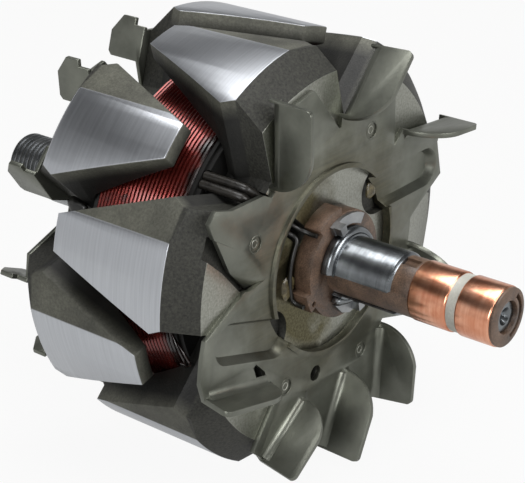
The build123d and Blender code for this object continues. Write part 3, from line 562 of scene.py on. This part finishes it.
def wound_wire():
    """The top layer of the coil, as one helix with a round section."""
    mesh = bmesh.new()
    made = bmesh.ops.create_circle(mesh, segments=WIRE_SIDES, radius=WIRE / 2 * MM)
    start = Matrix.Translation((LAYER_RADIUS * MM, FIRST_TURN * MM, 0))
    bmesh.ops.transform(mesh, matrix=start, verts=made["verts"])
    bmesh.ops.spin(mesh, geom=mesh.verts[:] + mesh.edges[:], cent=(0, 0, 0), axis=(0, 1, 0),
                   angle=2 * pi * TURNS, dvec=(0, WIRE * MM / STEPS_PER_TURN, 0),
                   steps=TURNS * STEPS_PER_TURN)
    middle = (WINDING_START + WINDING_LENGTH / 2) * MM
    for vertex in mesh.verts:
        side = abs(vertex.co.y - middle) / (WINDING_LENGTH / 2 * MM)
        inward = END_DROP * side * side
        nudge = noise.noise(vertex.co * per_mm(NUDGE_PATCH)) * NUDGE
        scale = 1 - (inward - nudge * 0.5) * MM / Vector((vertex.co.x, 0, vertex.co.z)).length
        vertex.co.x *= scale
        vertex.co.z *= scale
        vertex.co.y += nudge * MM
    bmesh.ops.recalc_face_normals(mesh, faces=mesh.faces)
    return mesh


place(to_object(wound_wire(), "winding_top_layer"), WIRE_ENAMEL, "enamelled_copper", "field_winding")
print(TURNS, "turns in the top layer")

# %% Layers below
DRUM_BORE = 27.0
DRUM_RADIUS = CROWN_RADIUS - 0.9 - WIRE / 2
WINDING_END = WINDING_START + WINDING_LENGTH


def turned_piece(name, profile, segments=128):
    """A solid of revolution about the shaft from (radius, y) points in mm."""
    mesh = bmesh.new()
    points = [mesh.verts.new((radius * MM, y * MM, 0)) for radius, y in profile]
    for first, second in zip(points, points[1:]):
        mesh.edges.new((first, second))
    bmesh.ops.spin(mesh, geom=mesh.verts[:] + mesh.edges[:], cent=(0, 0, 0), axis=(0, 1, 0), angle=2 * pi,
                   steps=segments, use_merge=True)
    bmesh.ops.remove_doubles(mesh, verts=mesh.verts, dist=1e-7)
    bmesh.ops.recalc_face_normals(mesh, faces=mesh.faces)
    return to_object(mesh, name)


# the lower layers are copper wire, but the drum gets the black bobbin finish: painted shade in the gaps
# between the top layer's turns
drum = turned_piece("winding_lower_layers_painted_dark", [
    (DRUM_BORE, WINDING_START), (DRUM_RADIUS, WINDING_START), (DRUM_RADIUS, WINDING_END),
    (DRUM_BORE, WINDING_END), (DRUM_BORE, WINDING_START),
])
place(drum, BLACK_BOBBIN, "enamelled_copper")

# %% [markdown]
# ## The threaded end
# The pulley nut runs on a fine thread of 1.5 mm pitch. One thread section, a V with a flat crest, is
# spun with a step along the shaft, the same way as the wire. It needs the CAD shaft cut back there
# first, so the shaft is a copy whose plain end is sliced off, and the thread takes its place.

# %% Cut the thread
PITCH = 1.5
SHAFT_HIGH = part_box("rotor_shaft")[1].y / MM
THREAD_LENGTH = 11.7
THREAD_START = SHAFT_HIGH - THREAD_LENGTH
THREAD_STEPS = 64
CREST = 7.34
ROOT = CREST - 0.85
RUN_OUT = 1.3
RUN_OUT_SLOPE = 0.9


def threaded_end():
    """The thread's turns, from a section that runs from one root flat to the next."""
    mesh = bmesh.new()
    section = [(ROOT, 0.0), (ROOT, 0.12), (CREST, 0.66), (CREST, 0.90), (ROOT, 1.44), (ROOT, PITCH)]
    points = [mesh.verts.new((radius * MM, (THREAD_START + y) * MM, 0)) for radius, y in section]
    for first, second in zip(points, points[1:]):
        mesh.edges.new((first, second))
    turns = THREAD_LENGTH / PITCH - 1
    bmesh.ops.spin(mesh, geom=mesh.verts[:] + mesh.edges[:], cent=(0, 0, 0), axis=(0, -1, 0),
                   angle=2 * pi * turns, dvec=(0, PITCH * MM / THREAD_STEPS, 0),
                   steps=int(turns * THREAD_STEPS))
    bmesh.ops.remove_doubles(mesh, verts=mesh.verts, dist=2e-6)
    # the last millimetre runs out into the end chamfer
    for vertex in mesh.verts:
        radius = Vector((vertex.co.x, 0, vertex.co.z)).length
        past = max(0.0, vertex.co.y / MM - (SHAFT_HIGH - RUN_OUT))
        limit = (CREST - past * RUN_OUT_SLOPE) * MM
        if radius > limit:
            vertex.co.x *= limit / radius
            vertex.co.z *= limit / radius
    bmesh.ops.recalc_face_normals(mesh, faces=mesh.faces)
    return mesh


print("thread of", PITCH, "mm pitch,", THREAD_LENGTH, "mm long")

# %% Cut the shaft back and put the thread on it
SHAFT_EDGE = 0.15
CORE_RADIUS = ROOT + 0.03
END_CHAMFER = 0.9
CENTRE_SINK = 1.6
CENTRE_DRILL = 0.8
CENTRE_DEPTH = 5.0

shaft = joined_copy("rotor_shaft")
cut = bmesh.ops.bisect_plane(shaft, geom=shaft.verts[:] + shaft.edges[:] + shaft.faces[:],
                             plane_co=(0, (THREAD_START + 0.02) * MM, 0), plane_no=(0, 1, 0),
                             clear_outer=True)
rim = [e for e in cut["geom_cut"] if isinstance(e, bmesh.types.BMEdge)]
bmesh.ops.edgeloop_fill(shaft, edges=rim)
soften(shaft, SHAFT_EDGE)
place(to_object(shaft, "rotor_shaft_dressed"), SHAFT_STEEL, "machined_steel", "rotor_shaft")
place(to_object(threaded_end(), "drive_end_thread"), THREAD_STEEL, "machined_steel")
thread_core = turned_piece("drive_end_thread_core", [
    (0.0, THREAD_START), (CORE_RADIUS, THREAD_START), (CORE_RADIUS, SHAFT_HIGH - END_CHAMFER),
    (ROOT - 0.5, SHAFT_HIGH), (CENTRE_SINK, SHAFT_HIGH), (CENTRE_DRILL, SHAFT_HIGH - CENTRE_SINK),
    (CENTRE_DRILL, SHAFT_HIGH - CENTRE_DEPTH), (0.0, SHAFT_HIGH - CENTRE_DEPTH - CENTRE_DRILL / 2),
], THREAD_STEPS)
place(thread_core, THREAD_STEEL, "machined_steel")

# %% [markdown]
# ## Leads in their sleeves
# Two wires leave the coil, each in a varnished glass sleeve, and run in one groove over the pole half
# to the shaft. Near the shaft they are bare, and the lower one turns round the shaft to reach its
# ring's terminal on the far side. A wire bends smoothly, so each is a curve whose control points are
# the corners of the route, given a round section by its bevel.

# %% Tools for a route
GROOVE = 138.2


def polar(radius, angle, y):
    """A point in mm from its distance and angle about the shaft."""
    return Vector((radius * cos(radians(angle)), y, radius * sin(radians(angle))))


def in_groove(radius, y, across):
    """A point in the groove, a little to one side of its middle line."""
    return polar(radius, GROOVE, y) + polar(across, GROOVE + 90, 0)


def dropped(point, y):
    """The same place, at another distance along the shaft."""
    return Vector((point.x, y, point.z))


def tube(name, route, radius):
    """A round wire along the route's points, which are in mm."""
    curve = bpy.data.curves.new(name, "CURVE")
    curve.dimensions = "3D"
    spline = curve.splines.new("NURBS")
    spline.points.add(len(route) - 1)
    for point, place_mm in zip(spline.points, route):
        point.co = (*(place_mm * MM), 1.0)
    spline.order_u = 3
    spline.use_endpoint_u = True
    spline.resolution_u = 10
    curve.bevel_depth = radius * MM
    curve.bevel_resolution = 4
    curve.use_fill_caps = True
    return bpy.data.objects.new(name, curve)


print("groove at", GROOVE, "degrees about the shaft")

# %% Lay the leads and their sleeves
LEAD_RADIUS = 0.55
SLEEVE_RADIUS = 1.05
BESIDE = 1.1
OUT_OF_COIL = 38.5
OVER_FACE = 16.8
ROUND_SHAFT = 14.45
TERMINAL = 11.3


def coil_exit(across):
    """The first points of a lead: out of the coil along the shaft, then over the pole half's corner."""
    return [in_groove(OUT_OF_COIL, 28.6, across), in_groove(OUT_OF_COIL, 18.2, across),
            in_groove(36.6, OVER_FACE, across)]


upper_end = in_groove(13.75, OVER_FACE, -BESIDE)
upper_route = coil_exit(-BESIDE) + [in_groove(26.0, 16.9, -BESIDE), upper_end, dropped(upper_end, TERMINAL)]
lower_route = coil_exit(BESIDE) + [in_groove(17.9, OVER_FACE, BESIDE), in_groove(15.7, ROUND_SHAFT, BESIDE)]
lower_route += [polar(15.5, angle, ROUND_SHAFT) for angle in (153, 166, 179, 192, 204)]
lower_route.append(dropped(lower_route[-1], TERMINAL))
place(tube("upper_lead_wire", upper_route, LEAD_RADIUS), BLACK_VARNISH, "enamelled_copper", "coil_lead_upper")
place(tube("lower_lead_wire", lower_route, LEAD_RADIUS), BLACK_VARNISH, "enamelled_copper", "coil_lead_lower")
for side, across, node in (("upper", -BESIDE, "lead_sleeve_upper"), ("lower", BESIDE, "lead_sleeve_lower")):
    sleeve_route = [in_groove(OUT_OF_COIL, 28.4, across), in_groove(OUT_OF_COIL, 18.4, across),
                    in_groove(36.5, OVER_FACE, across), in_groove(29.0, 17.0, across),
                    in_groove(21.5, OVER_FACE, across)]
    place(tube(side + "_glass_sleeve", sleeve_route, SLEEVE_RADIUS), SLEEVE_CLOTH, "woven_sleeve", node)

# %% [markdown]
# ## Weld marks and varnish
# The fan is projection-welded to the pole half, and each weld leaves a shallow dimple with one ring
# round it and a smaller one in it. The dipping varnish collects where the leads pass the collar,
# where the pockets meet the eye and on the coil, and cures to rounded lumps. A lump is a small ball
# pressed flat and pushed about by noise, so that no two look alike.

# %% Welds
PLATE_FACE = 13.8
WELD_CIRCLE = 31.7
WELD_ANGLES = (62.3, 153.8, 237.0, 293.3)
RIM_WIDTH = 0.30
OUTER_RIM = 2.0
INNER_RIM = 0.9
INNER_RIM_SUNK = Vector((0, 0.35, 0))


def ring_mark(name, place_mm, radius):
    """A low raised ring round the middle of a weld, its axis along the shaft."""
    mesh = bmesh.new()
    made = bmesh.ops.create_circle(mesh, segments=12, radius=RIM_WIDTH / 2 * MM)
    bmesh.ops.transform(mesh, matrix=Matrix.Translation((radius * MM, 0, 0)), verts=made["verts"])
    bmesh.ops.spin(mesh, geom=mesh.verts[:] + mesh.edges[:], cent=(0, 0, 0), axis=(0, 1, 0), angle=2 * pi,
                   steps=40, use_merge=True)
    bmesh.ops.remove_doubles(mesh, verts=mesh.verts, dist=1e-7)
    bmesh.ops.scale(mesh, vec=(1, 0.5, 1), verts=mesh.verts)
    bmesh.ops.transform(mesh, matrix=Matrix.Translation(place_mm * MM), verts=mesh.verts)
    bmesh.ops.recalc_face_normals(mesh, faces=mesh.faces)
    return to_object(mesh, name)


for number, angle in enumerate(WELD_ANGLES, 1):
    middle = polar(WELD_CIRCLE, angle, PLATE_FACE)
    place(ring_mark(f"weld_{number}_outer", middle, OUTER_RIM), FAN_SHEET_STEEL, "stamped_steel")
    sunk = middle + INNER_RIM_SUNK
    place(ring_mark(f"weld_{number}_inner", sunk, INNER_RIM), SHEARED_EDGE_AND_HIGHLIGHT, "stamped_steel")

# %% Lumps of varnish
LUMP_UNEVENNESS = 0.28
LUMP_RIPPLE = 2.2
# each lump's place, its size along X, Y and Z, a number that sets its shape, and its finish
LUMPS = {
    "resin_by_collar": (polar(15.6, 187, 15.0), (4.4, 1.4, 6.0), 1.0, CURED_RESIN),
    "resin_right_pocket": (polar(20.2, 36, 15.0), (3.4, 1.5, 4.0), 5.0, CURED_RESIN),
    "resin_over_leads": (in_groove(22.5, 16.2, 0), (4.6, 1.8, 4.4), 9.0, CURED_RESIN),
    "varnish_on_coil": (polar(39.4, 160, 60.0), (3.0, 6.0, 4.2), 13.0, BLACK_VARNISH),
}


def lump(name, place_mm, size_mm, seed):
    """A rounded lump of cured varnish, about as large as given along X, Y and Z."""
    mesh = bmesh.new()
    bmesh.ops.create_icosphere(mesh, subdivisions=4, radius=0.5)
    for vertex in mesh.verts:
        swell = noise.noise(vertex.co * LUMP_RIPPLE + Vector((seed, seed, 0)))
        vertex.co *= 1 + LUMP_UNEVENNESS * swell
    bmesh.ops.scale(mesh, vec=Vector(size_mm) * MM, verts=mesh.verts)
    bmesh.ops.transform(mesh, matrix=Matrix.Translation(place_mm * MM), verts=mesh.verts)
    return to_object(mesh, name)


for name, (place_mm, size_mm, seed, finish) in LUMPS.items():
    place(lump(name, place_mm, size_mm, seed), finish, "enamelled_copper")

# %% [markdown]
# Two fine wires have come loose at the coil's end nearer the slip rings. Each leaves the coil, bows
# out past its end between two claws and goes back in, so it is a curve of five points.

# %% Stray wires
STRAY_RADIUS = 0.32
COIL_END = 28.9
# for each wire, the angles between which it is loose, and how much further out it stands
STRAY_WIRES = ((193.5, 203.5, 0.0), (195.0, 202.0, 1.6))

for number, (first, last, further) in enumerate(STRAY_WIRES, 1):
    stray = [polar(40.9, first - 3, COIL_END), polar(42.3, first, 26.6 - further),
             polar(42.6, (first + last) / 2, 25.0 - further), polar(42.0, last, 25.8 - further),
             polar(40.7, last + 3, COIL_END)]
    place(tube(f"stray_wire_{number}", stray, STRAY_RADIUS), WIRE_ENAMEL, "enamelled_copper")

# %% [markdown]
# ## CAD nodes that keep their shape
# The small turned and moulded pieces are right as they are. They only get their finish.

# %% Finish the remaining nodes
PLAIN_FINISH = {
    "slip_ring_spacer": PALE_INSULATION,
    "coil_bobbin": BLACK_BOBBIN,
    "field_core": POLE_STEEL,
    "ring_lead_bar_inner": RING_COPPER,
    "ring_lead_bar_outer": RING_COPPER,
    "terminal_hook_lower": TINNED,
    "terminal_hook_upper": TINNED,
    "drive_end_spacer": SHAFT_STEEL,
}
for node, material in PLAIN_FINISH.items():
    nodes[node].data.materials.clear()
    nodes[node].data.materials.append(material)
print(len(PLAIN_FINISH), "nodes keep their CAD shape")

# %% [markdown]
# ## Floor and light
# A plain pale floor carries the rotor. Bright metal shows whatever stands round it, so the light
# is a few large soft panels, with dark gaps between them for the metal to show its form. The camera
# sees the floor and the surroundings as white or nearly so, like the paper behind a product picture.
# Reflections see a floor that is only partly white and a room of greys, light low down, dark above
# that and mid grey overhead, because the rings and the ground steel mirror such bands in the
# photograph. All other rays meet a pale painted floor and a dim, even white all round.

# %% Floor
WHITE_SHARE = 0.93
MIRRORED_SHARE = 0.55
FLOOR_REACH = 4.0


def floor_material():
    """Pale paint that glows white by itself to the camera, and about half as much in reflections."""
    material, tree = new_material("pale_floor")
    path = add_node(tree, "ShaderNodeLightPath")
    seen = add_node(tree, "ShaderNodeMath", {"operation": "MAXIMUM"},
                    {0: path.outputs["Is Camera Ray"], 1: path.outputs["Is Transmission Ray"]})
    mirrored = add_node(tree, "ShaderNodeMath", {"operation": "MULTIPLY_ADD", 1: MIRRORED_SHARE},
                        {0: path.outputs["Is Glossy Ray"], 2: seen.outputs[0]})
    share = add_node(tree, "ShaderNodeMath", {"operation": "MULTIPLY", 1: WHITE_SHARE},
                     {0: mirrored.outputs[0]})
    paint = add_node(tree, "ShaderNodeBsdfDiffuse", {"Color": linear("A8A8A6")})
    white = add_node(tree, "ShaderNodeEmission", {"Color": linear("FFFFFF"), "Strength": 1.0})
    mixed = add_node(tree, "ShaderNodeMixShader",
                     links={0: share.outputs[0], 1: paint.outputs[0], 2: white.outputs[0]})
    add_node(tree, "ShaderNodeOutputMaterial", links={"Surface": mixed.outputs[0]})
    return material


floor_mesh = bmesh.new()
bmesh.ops.create_grid(floor_mesh, x_segments=1, y_segments=1, size=FLOOR_REACH)
bmesh.ops.transform(floor_mesh, matrix=Matrix.Translation((0, 0, cad_bounds[0][2])), verts=floor_mesh.verts)
floor = to_object(floor_mesh, "floor")
bpy.context.scene.collection.objects.link(floor)
floor.data.materials.append(floor_material())
print("floor at", round(cad_bounds[0][2] / MM, 2), "mm")

# %% Surroundings
ROOM_GREYS = ((0.25, "DADADA"), (0.48, "3C3C3C"), (0.68, "484848"), (0.90, "A8A8A8"))


def studio_room():
    """White to the camera, a room of greys to reflections and a dim white to everything else."""
    world = bpy.data.worlds.new("studio")
    world.use_nodes = True
    tree = world.node_tree
    tree.nodes.clear()
    path = add_node(tree, "ShaderNodeLightPath")
    direction = add_node(tree, "ShaderNodeTexCoord")
    height = add_node(tree, "ShaderNodeSeparateXYZ", links={0: direction.outputs["Generated"]})
    greys = add_node(tree, "ShaderNodeValToRGB", links={0: height.outputs["Z"]})
    stops = greys.color_ramp.elements
    stops.remove(stops[1])
    for number, (position, grey) in enumerate(ROOM_GREYS):
        stop = stops.new(position) if number else stops[0]
        stop.position = position
        stop.color = linear(grey)
    dim = add_node(tree, "ShaderNodeBackground", {"Color": linear("FFFFFF"), "Strength": 0.14})
    room = add_node(tree, "ShaderNodeBackground", {"Strength": 1.0}, {"Color": greys.outputs[0]})
    white = add_node(tree, "ShaderNodeBackground", {"Color": linear("FFFFFF"), "Strength": 1.0})
    unseen = add_node(tree, "ShaderNodeMixShader",
                      links={0: path.outputs["Is Glossy Ray"], 1: dim.outputs[0], 2: room.outputs[0]})
    seen = add_node(tree, "ShaderNodeMath", {"operation": "MAXIMUM"},
                    {0: path.outputs["Is Camera Ray"], 1: path.outputs["Is Transmission Ray"]})
    either = add_node(tree, "ShaderNodeMixShader",
                      links={0: seen.outputs[0], 1: unseen.outputs[0], 2: white.outputs[0]})
    add_node(tree, "ShaderNodeOutputWorld", links={"Surface": either.outputs[0]})
    return world


bpy.context.scene.world = studio_room()
print("surroundings:", bpy.context.scene.world.name)

# %% Lamps
def soft_panel(name, place_mm, size_mm, watts):
    """A rectangular soft light aimed at the middle of the claws; its place and size are in mm."""
    data = bpy.data.lights.new(name, "AREA")
    data.shape = "RECTANGLE"
    data.size, data.size_y = size_mm[0] * MM, size_mm[1] * MM
    data.energy = watts
    lamp = bpy.data.objects.new(name, data)
    lamp.location = Vector(place_mm) * MM
    aim = (CLAWS_MIDDLE - Vector(place_mm)).to_track_quat("-Z", "Y")
    lamp.rotation_euler = aim.to_euler()
    lamp.visible_camera = False
    bpy.context.scene.collection.objects.link(lamp)


soft_panel("panel_overhead", (40, 20, 700), (560, 560), 6.0)
soft_panel("panel_left", (-640, -160, 260), (300, 300), 2.2)
soft_panel("panel_front", (120, -640, 260), (380, 320), 3.2)
